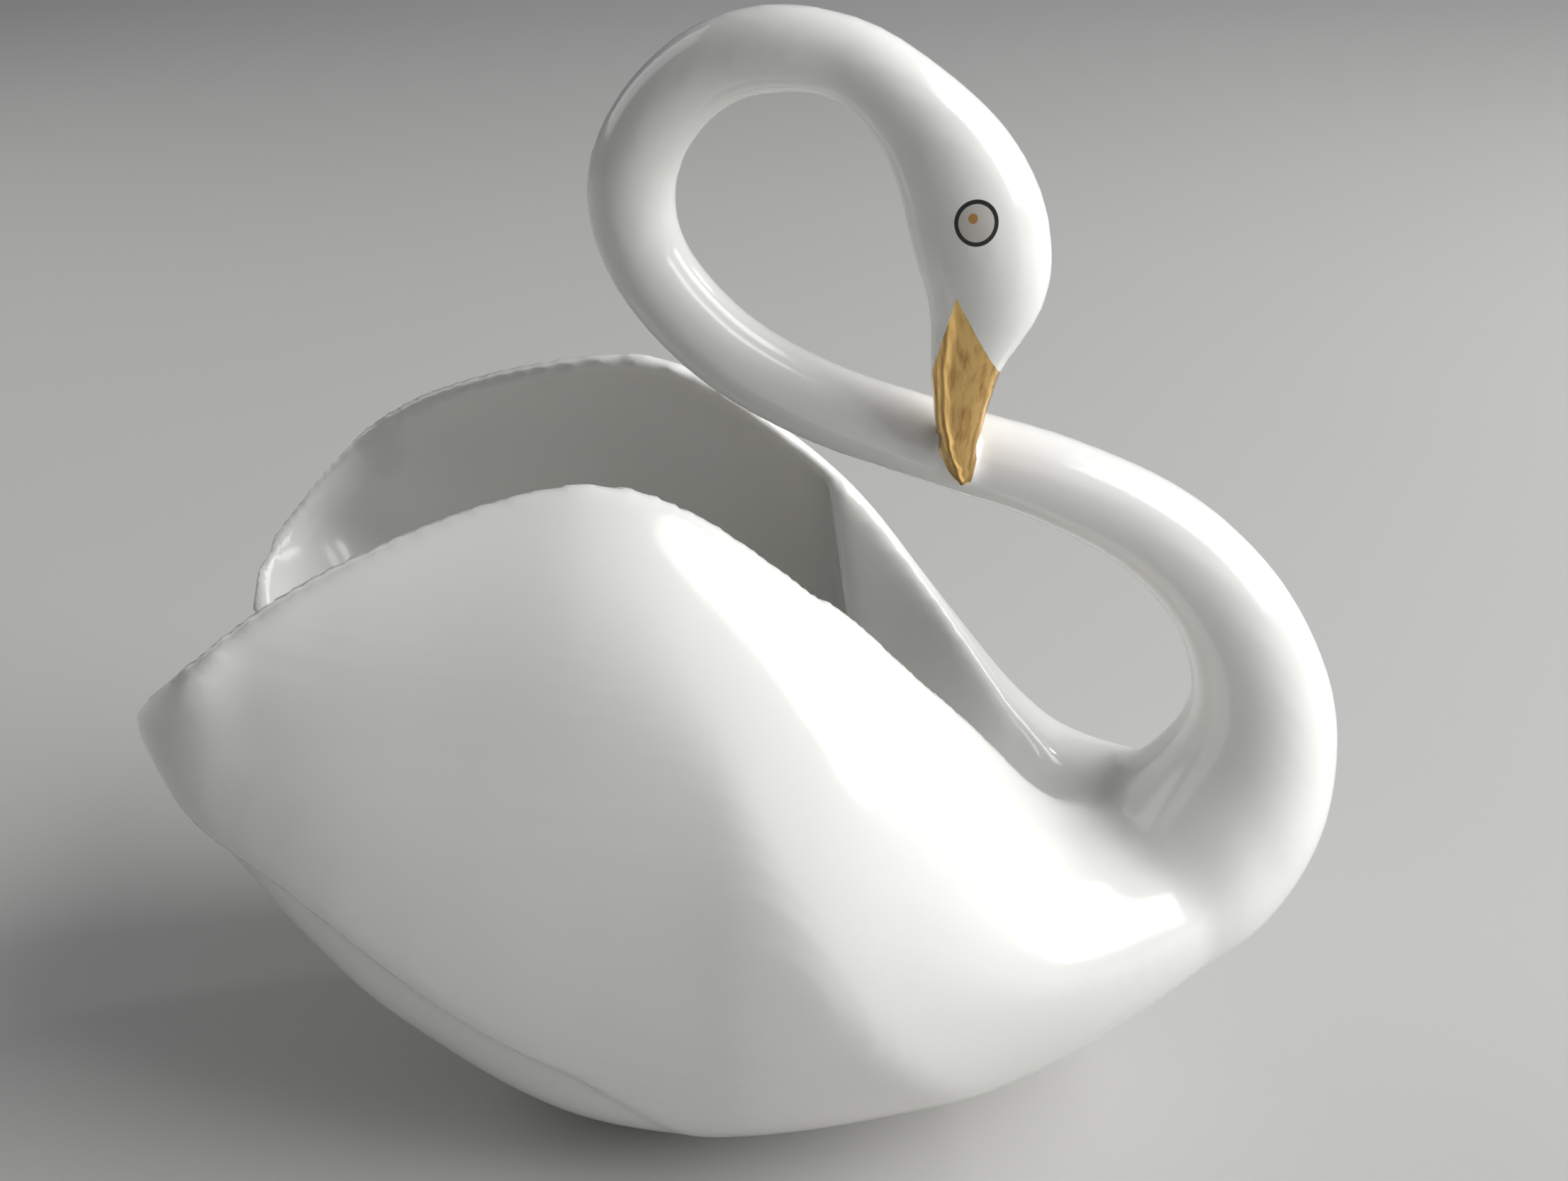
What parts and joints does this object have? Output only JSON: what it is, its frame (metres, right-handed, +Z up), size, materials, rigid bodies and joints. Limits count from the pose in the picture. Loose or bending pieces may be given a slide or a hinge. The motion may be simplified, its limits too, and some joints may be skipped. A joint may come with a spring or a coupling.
{
  "type": "swan figurine",
  "caption": "Glazed porcelain swan whose raised wings form an open bowl, with a looped neck and a gilded beak that rests on the neck.",
  "frame": {"origin": "on the surface it stands on, below the middle of the swan's length and on its mirror plane", "axes": "+X the way the swan faces, +Y the swan's left, +Z up"},
  "size_m": [0.1204, 0.068, 0.1189],
  "materials": {
    "porcelain": "glazed white porcelain"
  },
  "bodies": {
    "root": {"swan_figurine": "porcelain"}
  },
  "joints": []
}
